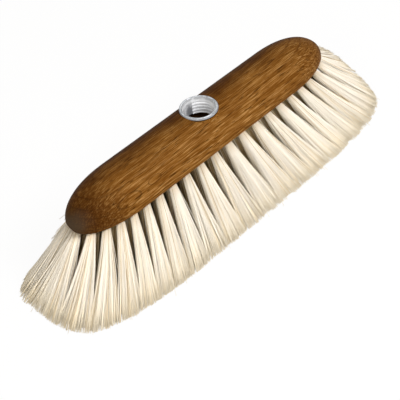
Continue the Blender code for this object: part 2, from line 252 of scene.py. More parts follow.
class Tree:
    """A shader node tree with short calls to add and link its nodes."""

    def __init__(self, tree: NodeTree) -> None:
        """Wraps a node tree."""
        self.tree = tree

    def link(self, source: Socket, target: Socket) -> None:
        """Links an output to an input."""
        self.tree.links.new(source, target)

    def node(self, kind: str, inputs: dict | None = None, **settings: object) -> bpy.types.Node:
        """Adds a node.

        Args:
            kind: Blender's node type, without its ShaderNode prefix.
            inputs: Input sockets by name or number, each a socket to link from or a value.
            settings: Properties of the node.

        Returns:
            The node.
        """
        node = self.tree.nodes.new(kind if kind.startswith("Node") else f"ShaderNode{kind}")
        for name, value in settings.items():
            setattr(node, name, value)
        for key, value in (inputs or {}).items():
            if isinstance(value, Socket):
                self.link(value, node.inputs[key])
            else:
                node.inputs[key].default_value = value
        return node

    def math(self, operation: str, a: object, b: object = 0.0, clamp: bool = False) -> Socket:
        """A Math node's result for two sockets or values."""
        return self.node("Math", {0: a, 1: b}, operation=operation, use_clamp=clamp).outputs[0]

    def vector(self, operation: str, a: object, b: object) -> Socket:
        """A Vector Math node's vector for two sockets or vectors."""
        return self.node("VectorMath", {0: a, 1: b}, operation=operation).outputs["Vector"]

    def length(self, vector: Socket) -> Socket:
        """Length of a vector."""
        return self.node("VectorMath", {0: vector}, operation="LENGTH").outputs["Value"]

    def axes(self, vector: Socket) -> list[Socket]:
        """X, Y and Z of a vector."""
        return list(self.node("SeparateXYZ", {0: vector}).outputs)

    def remap(self, value: object, span: Span, to: Span = RISE) -> Socket:
        """A value carried smoothly from one range to another, and held at its ends."""
        inputs = dict(zip(("From Min", "From Max", "To Min", "To Max"), (*span, *to)), Value=value)
        return self.node("MapRange", inputs, interpolation_type="SMOOTHSTEP").outputs["Result"]

    def swing(self, value: Socket, factor: float) -> Socket:
        """How far a value of 0 to 1 lies off its middle, times a factor."""
        return self.math("MULTIPLY", self.math("SUBTRACT", value, 0.5), factor)

    def blend(self, share: object, first: object, second: object, kind: str = "MIX") -> Socket:
        """A blend of two colours, each a socket or an RGB triple."""
        first, second = ((*c, 1.0) if isinstance(c, tuple) else c for c in (first, second))
        inputs = {MIX_FACTOR: share, MIX_A: first, MIX_B: second}
        return self.node("Mix", inputs, data_type="RGBA", blend_type=kind).outputs[MIX_COLOUR]

    def noise(self, vector: object, scale: object, detail: float = 3.0, roughness: float = 0.5) -> Socket:
        """A noise texture's value, about 0 to 1."""
        inputs = {"Vector": vector, "Scale": scale, "Detail": detail, "Roughness": roughness}
        return self.node("TexNoise", inputs).outputs[0]

    def streaks(self, vector: object, scale: Point, detail: float, roughness: float = 0.55) -> Socket:
        """Noise of a scale of its own along each axis, so that it draws out into streaks."""
        scaled = self.node("Mapping", {"Vector": vector, "Scale": scale}).outputs[0]
        return self.noise(scaled, 1.0, detail, roughness)

    def bump(self, height: object, distance: float, strength: float) -> Socket:
        """A normal pushed about by a height map."""
        inputs = {"Height": height, "Distance": distance, "Strength": strength}
        return self.node("Bump", inputs).outputs[0]

    def effect(self, group: NodeTree, place: Socket, **values: float) -> dict[str, Socket]:
        """Places an effect's node group.

        Args:
            group: The effect.
            place: Where its pattern is read.
            values: Its other inputs, with _ for a space.

        Returns:
            Its outputs by name.
        """
        inputs = {"Vector": place, **{key.replace("_", " "): value for key, value in values.items()}}
        return {socket.name: socket for socket in self.node("Group", inputs, node_tree=group).outputs}


def new_group(
    name: str, inputs: dict[str, float | None], outputs: tuple[str, ...]
) -> tuple[Tree, dict[str, Socket], dict[str, Socket]]:
    """Starts a shader node group.

    Args:
        name: Name of the group.
        inputs: Input names with their defaults; None makes a vector.
        outputs: Names of the value outputs.

    Returns:
        Its tree, its input sockets by name and its output sockets by name.
    """
    group = bpy.data.node_groups.new(name, "ShaderNodeTree")
    for key, default in inputs.items():
        kind = "NodeSocketVector" if default is None else "NodeSocketFloat"
        socket = group.interface.new_socket(name=key, in_out="INPUT", socket_type=kind)
        if default is not None:
            socket.default_value = default
    for key in outputs:
        group.interface.new_socket(name=key, in_out="OUTPUT", socket_type="NodeSocketFloat")
    tree = Tree(group)
    given, put_out = tree.node("NodeGroupInput").outputs, tree.node("NodeGroupOutput").inputs
    return tree, {key: given[key] for key in inputs}, {key: put_out[key] for key in outputs}


@dataclass(frozen=True)
class OakGrain:
    """Grain of oak that runs along X.

    Rings are shells round an axis that leans a little from X, so a domed face cuts them into long loops.
    Fibres are noise drawn out along X. Pores are short dark dashes, where drawn-out noise passes a limit,
    and they crowd in the rings' dark lines.
    """

    ring_spacing: float = 0.0044
    pore_amount: float = 0.5
    wander: float = 0.0035
    wander_scale: float = 16.0
    wander_detail: float = 1.0
    axis_at: Point = (0.0, 0.012, -0.030)
    axis_turn: Point = (0.0, 0.045, 0.05)
    ring_darkens: Span = (0.72, 0.93)
    ring_lightens: Span = (0.93, 1.0)
    coarse: Point = (24.0, 1350.0, 600.0)
    coarse_detail: float = 4.0
    coarse_roughness: float = 0.62
    coarse_share: float = 0.62
    fine: Point = (80.0, 2600.0, 1100.0)
    fine_detail: float = 2.0
    dashes: Point = (90.0, 1500.0, 800.0)
    dash_detail: float = 1.0
    crowding: float = 0.09
    pore_limit: float = 0.72
    pore_range: float = 0.16
    pore_edge: float = 14.0
    pore_depth: float = 0.8

    def group(self) -> NodeTree:
        """Builds the node group, with outputs Rings, Fibre, Pores and Height, each 0 to 1."""
        inputs = {"Vector": None, "Ring Spacing": self.ring_spacing, "Pore Amount": self.pore_amount}
        tree, given, out = new_group("oak_grain", inputs, ("Rings", "Fibre", "Pores", "Height"))
        cloud = {"Vector": given["Vector"], "Scale": self.wander_scale, "Detail": self.wander_detail}
        centred = tree.vector("SUBTRACT", tree.node("TexNoise", cloud).outputs["Color"], (0.5, 0.5, 0.5))
        place = tree.vector("ADD", given["Vector"], tree.vector("MULTIPLY", centred, (self.wander,) * 3))
        axis = {"Vector": place, "Location": self.axis_at, "Rotation": self.axis_turn}
        across = tree.vector("MULTIPLY", tree.node("Mapping", axis).outputs[0], (0.0, 1.0, 1.0))
        phase = tree.math("FRACT", tree.math("DIVIDE", tree.length(across), given["Ring Spacing"]))
        lightens = tree.remap(phase, self.ring_lightens)
        rings = tree.math("SUBTRACT", tree.remap(phase, self.ring_darkens), lightens, clamp=True)
        coarse = tree.streaks(place, self.coarse, self.coarse_detail, self.coarse_roughness)
        coarse = tree.math("MULTIPLY", coarse, self.coarse_share)
        fine = tree.streaks(place, self.fine, self.fine_detail)
        fibre = tree.math("ADD", coarse, tree.math("MULTIPLY", fine, 1.0 - self.coarse_share))
        dashes = tree.streaks(place, self.dashes, self.dash_detail)
        crowd = tree.math("ADD", dashes, tree.swing(rings, self.crowding))
        eased = tree.math("MULTIPLY", given["Pore Amount"], self.pore_range)
        over = tree.math("SUBTRACT", crowd, tree.math("SUBTRACT", self.pore_limit, eased))
        pores = tree.math("MULTIPLY", over, self.pore_edge, clamp=True)
        sunk = tree.math("MULTIPLY", pores, self.pore_depth)
        height = tree.math("SUBTRACT", fibre, sunk, clamp=True)
        for key, value in {"Rings": rings, "Fibre": fibre, "Pores": pores, "Height": height}.items():
            tree.link(value, out[key])
        return tree.tree


@dataclass(frozen=True)
class Mottle:
    """Uneven handling marks, which wood and metal share.

    Cloud is broad soft noise. Scuffs are thin ridges: where a finer noise passes its middle value.
    """

    scale: float = 60.0
    finer: float = 6.0
    finer_detail: float = 2.0
    scuff_width: float = 0.02

    def group(self) -> NodeTree:
        """Builds the node group, with outputs Cloud and Scuffs, each 0 to 1."""
        inputs = {"Vector": None, "Scale": self.scale}
        tree, given, out = new_group("mottle", inputs, ("Cloud", "Scuffs"))
        finer = tree.math("MULTIPLY", given["Scale"], self.finer)
        ridge = tree.noise(given["Vector"], finer, self.finer_detail)
        away = tree.math("ABSOLUTE", tree.math("SUBTRACT", ridge, 0.5))
        tree.link(tree.noise(given["Vector"], given["Scale"]), out["Cloud"])
        tree.link(tree.remap(away, (0.0, self.scuff_width), FALL), out["Scuffs"])
        return tree.tree


@dataclass(frozen=True)
class Effects:
    """The node groups that more than one finish uses."""

    oak_grain: NodeTree = field(default_factory=OakGrain().group)
    mottle: NodeTree = field(default_factory=Mottle().group)


# --- Finishes -------------------------------------------------------------------------------------------


def new_material(name: str, **constants: float) -> tuple[Material, Tree, bpy.types.Node]:
    """Starts a material with a Principled shader.

    Args:
        name: Name of the material.
        constants: Inputs of the shader that are the same all over, with _ for a space.

    Returns:
        The material, its tree and its shader.
    """
    material = bpy.data.materials.new(name)
    material.use_nodes = True
    shader = material.node_tree.nodes["Principled BSDF"]
    for key, value in constants.items():
        shader.inputs[key.replace("_", " ")].default_value = value
    return material, Tree(material.node_tree), shader


@dataclass(frozen=True)
class OiledOak:
    """Oiled hardwood: a golden ground with light streaks, dark growth rings and open pores.

    The side towards +Y and both ends are darker: painted shade on the +Y side and the +X end, and at the
    -X end partly painted shade, partly the wood's own darker tone. Faces that look along X show end grain.
    Near the -X end two rings close into thin loops, and the tip of that end carries a painted grey
    reflection.
    """

    name: str = "oiled_oak"
    ground: Colour = (0.215, 0.092, 0.0165)
    streak: Colour = (0.375, 0.205, 0.065)
    late: Colour = (0.115, 0.040, 0.0045)
    pore: Colour = (0.035, 0.013, 0.002)
    end_grain: Colour = (0.055, 0.027, 0.007)
    # Painted shade: the tone that the +Y side and both ends are darkened towards.
    painted_shade_tone: Colour = (0.25, 0.175, 0.08)
    # Painted reflection: the grey laid over the -X tip.
    painted_reflection: Colour = (0.075, 0.068, 0.054)
    mottle_scale: float = 26.0
    ground_fibre: Span = (0.38, 0.58)
    streak_fibre: Span = (0.50, 0.64)
    ring_depth: float = 0.55
    cloud_from_to: Span = (0.35, 0.7)
    cloud_depth: float = 0.30
    waver: float = 0.03
    # Painted shade: the +Y side darkens across this span and the +X end over the shaded end's span; the -X
    # end's darkening is partly painted shade, partly the wood's own tone.
    far_side_shade_from_to: Span = (-0.010, 0.015)
    painted_shade_depth: float = 0.9
    dark_end_from_to: Span = (0.100, 0.145)
    shaded_end_from_to: Span = (0.060, 0.145)
    shaded_end_depth: float = 0.35
    facing_from_to: Span = (0.35, 1.0)
    end_grain_depth: float = 0.75
    pore_amount: float = 0.8
    pore_depth: float = 0.75
    loops: tuple[tuple[Point, Point], ...] = (
        ((-0.1060, -0.0225, 0.0715), (80.0, 200.0, 200.0)),
        ((-0.0775, -0.0225, 0.0735), (130.0, 330.0, 330.0)),
    )
    loop_waver: float = 1.2
    loop_line: Span = (0.02, 0.12)
    loop_depth: float = 0.5
    # Span and strength of the painted grey reflection at the -X tip.
    reflection_from_to: Span = (0.138, 0.156)
    reflection_depth: float = 0.5
    roughness: float = 0.47
    fibre_roughness: float = 0.16
    pore_roughness: float = 0.2
    gloss: float = 0.02
    relief: float = 0.0003
    relief_strength: float = 0.6

    def grained(self, tree: Tree, grain: dict[str, Socket], cloud: Socket) -> Socket:
        """Colour of the grain: streaks by the fibres, and dark lines by the rings and the cloud.

        Args:
            tree: The material's tree.
            grain: Outputs of the oak grain.
            cloud: The mottle's cloud.

        Returns:
            The colour.
        """
        colour = tree.blend(tree.remap(grain["Fibre"], self.ground_fibre), self.late, self.ground)
        colour = tree.blend(tree.remap(grain["Fibre"], self.streak_fibre), colour, self.streak)
        colour = tree.blend(tree.math("MULTIPLY", grain["Rings"], self.ring_depth), colour, self.late)
        clouded = tree.remap(cloud, self.cloud_from_to, (0.0, self.cloud_depth))
        return tree.blend(clouded, colour, self.late)

    def looped(self, tree: Tree, colour: Socket, place: Socket, cloud: Socket) -> Socket:
        """Draws the closed rings, as thin lines where the wood cuts a shell.

        A shell lies where the place, less its centre and scaled along each axis, is 1 long. The cloud
        makes that length a little uneven.

        Args:
            tree: The material's tree.
            colour: The wood's colour.
            place: Object coordinates.
            cloud: The mottle's cloud.

        Returns:
            The colour with the rings.
        """
        uneven = tree.swing(cloud, self.loop_waver)
        for centre, scale in self.loops:
            scaled = tree.vector("MULTIPLY", tree.vector("SUBTRACT", place, centre), scale)
            radius = tree.math("ADD", tree.length(scaled), uneven)
            off = tree.math("ABSOLUTE", tree.math("SUBTRACT", radius, 1.0))
            line = tree.remap(off, self.loop_line, (self.loop_depth, 0.0))
            colour = tree.blend(line, colour, self.pore)
        return colour

    def material(self, effects: Effects) -> Material:
        """Builds the finish.

        Args:
            effects: The shared node groups.

        Returns:
            The material.
        """
        material, tree, shader = new_material(self.name, Specular_IOR_Level=self.gloss)
        place = tree.node("TexCoord").outputs["Object"]
        grain = tree.effect(effects.oak_grain, place, Pore_Amount=self.pore_amount)
        cloud = tree.effect(effects.mottle, place, Scale=self.mottle_scale)["Cloud"]
        colour = self.grained(tree, grain, cloud)
        along, across, _ = tree.axes(place)
        wavering = tree.swing(cloud, self.waver)
        from_middle = tree.math("SUBTRACT", wavering, along)
        # Painted shade: the +Y side, the +X end and, in part, the -X end are darkened.
        side = tree.remap(tree.math("ADD", across, wavering), self.far_side_shade_from_to)
        foot = tree.remap(from_middle, self.dark_end_from_to)
        head = tree.remap(along, self.shaded_end_from_to, (0.0, self.shaded_end_depth))
        painted_shade_mask = tree.math("MAXIMUM", tree.math("MAXIMUM", side, foot), head)
        painted_shade = tree.blend(1.0, colour, self.painted_shade_tone, "MULTIPLY")
        colour = tree.blend(tree.math("MULTIPLY", painted_shade_mask, self.painted_shade_depth), colour, painted_shade)
        facing = tree.math("ABSOLUTE", tree.axes(tree.node("NewGeometry").outputs["Normal"])[0])
        facing = tree.remap(facing, self.facing_from_to, (0.0, self.end_grain_depth))
        colour = tree.blend(facing, colour, self.end_grain)
        colour = tree.blend(tree.math("MULTIPLY", grain["Pores"], self.pore_depth), colour, self.pore)
        colour = self.looped(tree, colour, place, cloud)
        # Painted reflection: the -X tip is greyed.
        tip = tree.remap(from_middle, self.reflection_from_to, (0.0, self.reflection_depth))
        rough = tree.math("MULTIPLY", grain["Fibre"], self.fibre_roughness)
        rough = tree.math("ADD", rough, tree.math("MULTIPLY", grain["Pores"], self.pore_roughness))
        tree.link(tree.blend(tip, colour, self.painted_reflection), shader.inputs["Base Color"])
        tree.link(tree.math("ADD", rough, self.roughness), shader.inputs["Roughness"])
        tree.link(tree.bump(grain["Height"], self.relief, self.relief_strength), shader.inputs["Normal"])
        return material


@dataclass(frozen=True)
class ZincPlate:
    """Zinc plating on rolled sheet steel: cool grey and cloudy, with fine scuffs.

    The inside of the sleeve is painted brighter: painted light on its shaded wall. Dirt sits in patchy
    lines round the mouth and the flange's edge, in one nick of the flange, and as a smudge down the lap
    seam inside.
    """

    name: str = "zinc_plated_steel"
    bright: Colour = (0.66, 0.68, 0.70)
    dull: Colour = (0.30, 0.32, 0.34)
    # Painted light: the brighter tone laid on the sleeve's inside, which lies in shade.
    inner: Colour = (0.97, 0.98, 1.0)
    dirt: Colour = (0.16, 0.165, 0.18)
    mottle_scale: float = 260.0
    cloud_from_to: Span = (0.3, 0.7)
    scuff_depth: float = 0.35
    inner_radii: Span = (0.0140, 0.0142)
    painted_light_depth: float = 0.75
    line_radii: tuple[float, ...] = (0.0142, 0.0163)
    line_width: float = 0.0006
    line_cloud: Span = (0.35, 0.60)
    line_depths: Span = (0.2, 1.0)
    nick_at: Point = (0.0146, 0.0040, 0.0868)
    nick_radii: Span = (0.0003, 0.0009)
    nick_depth: float = 0.8
    smudge_starts: Span = (1.22, 1.27)
    smudge_ends: Span = (1.45, 1.85)
    smudge_heights: Span = (0.0790, 0.0850)
    smudge_cloud: Span = (0.3, 0.6)
    smudge_depths: Span = (0.35, 0.75)
    roughnesses: Span = (0.56, 0.42)
    metallics: Span = (0.6, 0.2)
    cloud_relief: float = 0.7
    scuff_relief: float = -0.2
    relief: float = 0.0006
    relief_strength: float = 0.5

    def dirtied(self, tree: Tree, colour: Socket, place: Socket, cloud: Socket, inside: Socket) -> Socket:
        """Lays the dirt over a colour.

        Args:
            tree: The material's tree.
            colour: The clean colour.
            place: Object coordinates.
            cloud: The mottle's cloud, which makes the dirt patchy.
            inside: Mask of the sleeve's inside.

        Returns:
            The colour with its dirt.
        """
        radius = tree.length(tree.vector("MULTIPLY", place, (1.0, 1.0, 0.0)))
        patches = tree.remap(cloud, self.line_cloud, self.line_depths)
        for line_radius in self.line_radii:
            away = tree.math("ABSOLUTE", tree.math("SUBTRACT", radius, line_radius))
            line = tree.math("MULTIPLY", tree.remap(away, (0.0, self.line_width), FALL), patches)
            colour = tree.blend(line, colour, self.dirt)
        apart = tree.length(tree.vector("SUBTRACT", place, self.nick_at))
        colour = tree.blend(tree.remap(apart, self.nick_radii, (self.nick_depth, 0.0)), colour, self.dirt)
        x, y, z = tree.axes(place)
        angle = tree.math("ARCTAN2", y, x)
        ended = tree.remap(angle, self.smudge_ends)
        beside = tree.math("SUBTRACT", tree.remap(angle, self.smudge_starts), ended)
        deep = tree.math("MULTIPLY", beside, tree.remap(z, self.smudge_heights, FALL))
        patches = tree.remap(cloud, self.smudge_cloud, self.smudge_depths)
        smudge = tree.math("MULTIPLY", tree.math("MULTIPLY", deep, inside), patches)
        return tree.blend(smudge, colour, self.dirt)

    def material(self, effects: Effects) -> Material:
        """Builds the finish.

        Args:
            effects: The shared node groups.

        Returns:
            The material.
        """
        material, tree, shader = new_material(self.name)
        place = tree.node("TexCoord").outputs["Object"]
        marks = tree.effect(effects.mottle, place, Scale=self.mottle_scale)
        cloud, scuffs = marks["Cloud"], marks["Scuffs"]
        colour = tree.blend(tree.remap(cloud, self.cloud_from_to), self.dull, self.bright)
        colour = tree.blend(tree.math("MULTIPLY", scuffs, self.scuff_depth), colour, self.dull)
        radius = tree.length(tree.vector("MULTIPLY", place, (1.0, 1.0, 0.0)))
        # Painted light: the sleeve's inside is brightened.
        inside = tree.remap(radius, self.inner_radii, FALL)
        colour = tree.blend(tree.math("MULTIPLY", inside, self.painted_light_depth), colour, self.inner)
        colour = self.dirtied(tree, colour, place, cloud, inside)
        height = tree.math("MULTIPLY", cloud, self.cloud_relief)
        height = tree.math("ADD", height, tree.math("MULTIPLY", scuffs, self.scuff_relief))
        tree.link(colour, shader.inputs["Base Color"])
        tree.link(tree.remap(cloud, self.cloud_from_to, self.roughnesses), shader.inputs["Roughness"])
        tree.link(tree.remap(inside, RISE, self.metallics), shader.inputs["Metallic"])
        tree.link(tree.bump(height, self.relief, self.relief_strength), shader.inputs["Normal"])
        return material


@dataclass(frozen=True)
class PaleHair:
    """Undyed pale hair. U of the strands' own map picks a strand's shade, V runs from root to tip.

    Strands are browner at the root, as painted shade under the stock, and yellower at the tip. The darkest
    ones, which stand for the hair deep in a tuft, turn to a dull brown except at their tips: painted shade
    for the gaps between tufts.
    """

    name: str = "pale_horsehair"
    ivory: Colour = (0.90, 0.85, 0.75)
    cream: Colour = (0.87, 0.755, 0.56)
    tan: Colour = (0.68, 0.52, 0.31)
    # Painted shade: the browner tone near the roots, under the stock.
    root: Colour = (0.74, 0.58, 0.36)
    tips: Colour = (0.87, 0.745, 0.48)
    # Painted shade: the dull brown of the hair seen deep in the gaps between tufts.
    tuft_shade: Colour = (0.44, 0.31, 0.13)
    cream_shades: Span = (0.0, 0.30)
    ivory_shades: Span = (0.22, 0.62)
    banding_scale: Point = (60.0, 5.0, 1.0)
    banding_detail: float = 3.0
    banding_from_to: Span = (0.5, 0.8)
    banding_depth: float = 0.35
    root_shade_from_to: Span = (0.0, 0.18)
    root_shade_depth: float = 0.5
    # Which strands, and how far along them, take the painted shade of the gaps.
    tuft_shade_strands: Span = (0.15, 0.35)
    tuft_shade_from_to: Span = (0.35, 0.95)
    tuft_shade_depth: float = 0.85
    tips_from_to: Span = (0.6, 1.0)
    tips_depth: float = 0.4
    rough_banding: Span = (0.3, 0.7)
    roughnesses: Span = (0.45, 0.62)
    gloss: float = 0.35

    def material(self) -> Material:
        """Builds the finish and returns the material."""
        material, tree, shader = new_material(self.name, Specular_IOR_Level=self.gloss)
        place = tree.node("UVMap", uv_map=STRAND_MAP).outputs[0]
        shade, along, _ = tree.axes(place)
        banding = tree.streaks(place, self.banding_scale, self.banding_detail)
        colour = tree.blend(tree.remap(shade, self.cream_shades), self.tan, self.cream)
        colour = tree.blend(tree.remap(shade, self.ivory_shades), colour, self.ivory)
        bands = tree.remap(banding, self.banding_from_to, (0.0, self.banding_depth))
        colour = tree.blend(bands, colour, self.cream)
        # Painted shade: strands are browner near their roots.
        root_shade = tree.remap(along, self.root_shade_from_to, (self.root_shade_depth, 0.0))
        colour = tree.blend(root_shade, colour, self.root)
        # Painted shade: the darkest strands turn dull brown except at their tips.
        deep = tree.remap(along, self.tuft_shade_from_to, (self.tuft_shade_depth, 0.0))
        deep = tree.math("MULTIPLY", tree.remap(shade, self.tuft_shade_strands, FALL), deep)
        colour = tree.blend(deep, colour, self.tuft_shade)
        tipped = tree.remap(along, self.tips_from_to, (0.0, self.tips_depth))
        tree.link(tree.blend(tipped, colour, self.tips), shader.inputs["Base Color"])
        tree.link(tree.remap(banding, self.rough_banding, self.roughnesses), shader.inputs["Roughness"])
        return material


# --- Stock ----------------------------------------------------------------------------------------------


@dataclass
class Stock:
    """The domed wooden stock: a flat foot, a narrow leaning side and a dome that runs out at both ends."""

    base: float
    length: float = 0.300
    width: float = 0.0538
    height: float = 0.0304
    band_height: float = 0.0047
    edge_inset: float = 0.0016
    edge_round: float = 0.0007
    plan_end: float = 0.0579
    plan_power: float = 2.17
    crest_end: float = 0.0538
    dome_power: float = 2.1
    bore_radius: float = 0.0154
    bore_depth: float = 0.0189
    recess_radius: float = 0.0169
    recess_depth: float = 0.0016
    seat_radius: float = 0.0165
    seat_foot: float = 0.0189
    seat_drop: float = 0.0013
    seat_height: float = 0.0060
    foot_shares: tuple[float, ...] = (1.0, 0.6, 0.25)
    end_steps: int = 30
    side_steps: int = 71
    dome_steps: int = 40
    edge_steps: int = 5
    turned_steps: int = 96
    sharp_from: float = math.radians(40)

    def levels(self) -> Array:
        """Sizes of the stock's outlines from the middle of its foot up to its crest.

        The foot's outlines grow from a line, and the under edge is a quarter of a small circle. The dome's
        outlines shrink as cos(t)^(2/p) while they rise as sin(t)^(2/p).

        Returns:
            Rows of (half length, half width, end length, height).
        """
        half = np.array((self.length / 2, self.width / 2, self.plan_end))
        inset = self.edge_inset + self.edge_round
        shares = np.array(self.foot_shares)
        turn = np.linspace(0, math.pi / 2, self.edge_steps + 1)
        drawn_in = np.append(shares * (self.width / 2 - inset), -self.edge_round * np.sin(turn))
        height = np.append(0 * shares, self.edge_round * (1 - np.cos(turn)))
        lower = np.column_stack((half - inset - drawn_in[:, None], height))
        turn = np.linspace(0, math.pi / 2, self.dome_steps + 1)
        spread = np.abs(np.cos(turn)) ** (2 / self.dome_power)
        rise = np.sin(turn) ** (2 / self.dome_power)
        dome = np.column_stack((
            self.length / 2 - self.crest_end * (1 - spread),
            self.width / 2 * spread,
            self.plan_end * spread,
            self.band_height + (self.height - self.band_height) * rise,
        ))
        return np.vstack((lower, dome))

    def outline(self, inset: float) -> Array:
        """The foot's outline, drawn in by an inset from its edge."""
        inset += self.edge_inset
        sizes = (self.length / 2 - inset, self.width / 2 - inset, self.plan_end - inset)
        return outlines(*([size] for size in sizes), self.plan_power, 3 * self.end_steps)[0]

    def blank(self) -> bpy.types.Object:
        """Skins the levels into a solid without its bore."""
        levels = self.levels()
        rings = outlines(*levels.T[:3], self.plan_power, self.end_steps, self.side_steps)
        height = np.broadcast_to(self.base + levels[:, 3, None], rings.shape[:2])
        points = np.concatenate((rings, height[..., None]), axis=-1)
        return add_object("stock_blank", closed_mesh("stock_surface", points))

    def turned_tool(self, name: str, *profile: tuple[float, float]) -> bpy.types.Object:
        """A turned solid to join to the stock or cut out of it.

        Args:
            name: Name of the solid.
            profile: Its outside from bottom to top, as pairs of radius and height over the crest.

        Returns:
            Its object.
        """
        radius, height = np.array(profile).T[..., None]
        points = turned_points(radius, height + (self.base + self.height), self.turned_steps)
        return add_object(name, closed_mesh(name, points))

    def tools(self) -> dict[str, bpy.types.Object]:
        """The low conical seat to join on, and the recess and bore for the socket to cut out."""
        seat = self.turned_tool(
            "socket_seat",
            (self.seat_foot, -self.seat_drop - self.seat_height),
            (self.seat_radius, -self.seat_drop),
        )
        bore = self.turned_tool(
            "socket_bore_cut",
            (self.bore_radius, -self.bore_depth),
            (self.bore_radius, -self.recess_depth),
            (self.recess_radius, -self.recess_depth),
            (self.recess_radius, self.recess_depth),
        )
        return {"UNION": seat, "DIFFERENCE": bore}

    def bored(self) -> Mesh:
        """Works the seat and the bore into the blank, and returns its mesh."""
        blank, tools = self.blank(), self.tools()
        for operation, tool in tools.items():
            step = blank.modifiers.new(tool.name, "BOOLEAN")
            step.operation, step.solver, step.object = operation, "EXACT", tool
        graph = bpy.context.evaluated_depsgraph_get()
        mesh = bpy.data.meshes.new_from_object(blank.evaluated_get(graph))
        for item in (blank, *tools.values()):
            bpy.data.objects.remove(item, do_unlink=True)
        return mesh

    def build(self, wood: Material, bore_shade: Material) -> None:
        """Makes the stock with its bore, and dresses it.

        Args:
            wood: Finish of the outside.
            bore_shade: Finish of the bore's drilled wood, made near-black as painted shade, on the faces
                that lie wholly within the recess.
        """
        mesh = self.bored()
        mesh.materials.append(wood)
        mesh.materials.append(bore_shade)
        points = np.empty(3 * len(mesh.vertices), np.float32)
        corners, starts = np.empty(len(mesh.loops), np.int32), np.empty(len(mesh.polygons), np.int32)
        mesh.vertices.foreach_get("co", points)
        mesh.loops.foreach_get("vertex_index", corners)
        mesh.polygons.foreach_get("loop_start", starts)
        radius = np.hypot(*points.reshape(-1, 3)[:, :2].T)
        # Faces within the recess take the bore's painted shade.
        within = np.maximum.reduceat(radius[corners], starts) <= self.recess_radius + 10 * WELD
        mesh.polygons.foreach_set("material_index", within.astype(np.int32))
        mesh.shade_smooth()
        mesh.set_sharp_from_angle(angle=self.sharp_from)
        add_piece("stock_wood", mesh, "oiled_oak", "stock")


# --- Pole socket ----------------------------------------------------------------------------------------


@dataclass
class PoleSocket:
    """The rolled sheet-metal sleeve for the pole: a flange, a plain mouth, a thread and a lap seam."""

    top: float
    flange_radius: float = 0.0166
    flange_height: float = 0.0018
    body_radius: float = 0.0151
    mouth_radius: float = 0.0139
    bore_radius: float = 0.0137
    collar_depth: float = 0.0030
    length: float = 0.0163
    edge_round: float = 0.00085
    lip_round: float = 0.0002
    groove_radius: float = 0.0148
    groove_depth: float = 0.0003
    groove_shoulder: float = 0.00003
    lead: float = 0.0012
    pitch: float = 0.0032
    thread_depth: float = 0.0004
    crest_power: float = 2.2
    seam_at: float = math.radians(71)
    seam_step: float = 0.0003
    plain_turn: float = math.radians(64)
    fade: float = 0.25
    mouth_share: float = 0.6
    steps: int = 240
    depth_steps: int = 99
    round_steps: int = 5
    sharp_from: float = math.radians(50)

    def outer_profile(self) -> Array:
        """Profile from the foot of the sleeve, up its outside and over the flange to the mouth.

        Returns:
            Rows of (radius, height under the top face).
        """
        turn = np.linspace(0, math.pi / 2, self.round_steps + 1)
        out, up = np.sin(turn), np.cos(turn)
        edge, lip = self.edge_round, self.lip_round
        middle = self.flange_radius - edge
        lower = np.column_stack((middle + edge * out, -self.flange_height + edge - edge * up))
        upper = np.column_stack((middle + edge * up, -edge + edge * out))
        mouth = np.column_stack((self.mouth_radius + lip - lip * out, -lip + lip * up))
        groove = [
            (self.groove_radius + self.groove_depth, -self.groove_shoulder),
            (self.groove_radius, -self.groove_depth),
            (self.groove_radius - self.groove_depth, -self.groove_shoulder),
        ]
        body = [(self.body_radius, -self.length), (self.body_radius, -self.flange_height)]
        return np.vstack((body, lower, upper, groove, mouth))

    def surface(self) -> Mesh:
        """Skins the sleeve, outside and inside, as one closed grid.

        The inner wall narrows from the mouth's radius to the bore's over the lead, and carries a ridge
        that climbs one pitch a turn. From the seam on, over the plain turn, the lapped sheet lies deeper,
        and the ridge fades in again over the last share of that turn.

        Returns:
            The mesh.
        """
        outer = self.outer_profile()
        turn = np.arange(self.steps) * 2 * math.pi / self.steps
        past = (turn - self.seam_at) % (2 * math.pi) / self.plain_turn
        threaded = np.clip((past - 1 + self.fade) / self.fade, 0, 1) ** 2
        recessed = np.clip(1 + self.fade - past, 0, 1) ** 0.5
        start = self.mouth_share * self.collar_depth
        depth = np.linspace(start, self.length, self.depth_steps + 1)[:, None]
        started = np.clip((depth - self.collar_depth) / self.pitch, 0, 1)
        wave = 0.5 + 0.5 * np.cos(2 * math.pi * depth / self.pitch - turn)
        ridge = self.thread_depth * (1 - (1 - wave) ** self.crest_power) * started * threaded
        narrowed = np.clip((depth - start) / self.lead, 0, 1)
        wall = self.mouth_radius + (self.bore_radius - self.mouth_radius) * narrowed
        inner_radius = wall + self.seam_step * recessed * started - ridge
        radius = np.vstack((np.broadcast_to(outer[:, 0, None], (len(outer), self.steps)), inner_radius))
        height = np.concatenate((outer[:, 1], -depth[:, 0]))[:, None] + self.top
        quads = grid_quads(*radius.shape, closed_rows=True)
        points = turned_points(radius, height, self.steps).reshape(-1, 3)
        return mesh_from_arrays("pole_socket_sleeve", points, quads)

    def build(self, zinc: Material) -> None:
        """Makes the sleeve and dresses it in its finish."""
        mesh = self.surface()
        mesh.set_sharp_from_angle(angle=self.sharp_from)
        mesh.materials.append(zinc)
        add_piece("threaded_sleeve", mesh, "zinc_plated_steel", "pole_socket")


# --- Hair -----------------------------------------------------------------------------------------------


class Row(Enum):
    """The rows of tufts, from the stock's edge inwards."""

    OUTER = "outer"
    INNER = "inner"
    CENTRE = "centre"


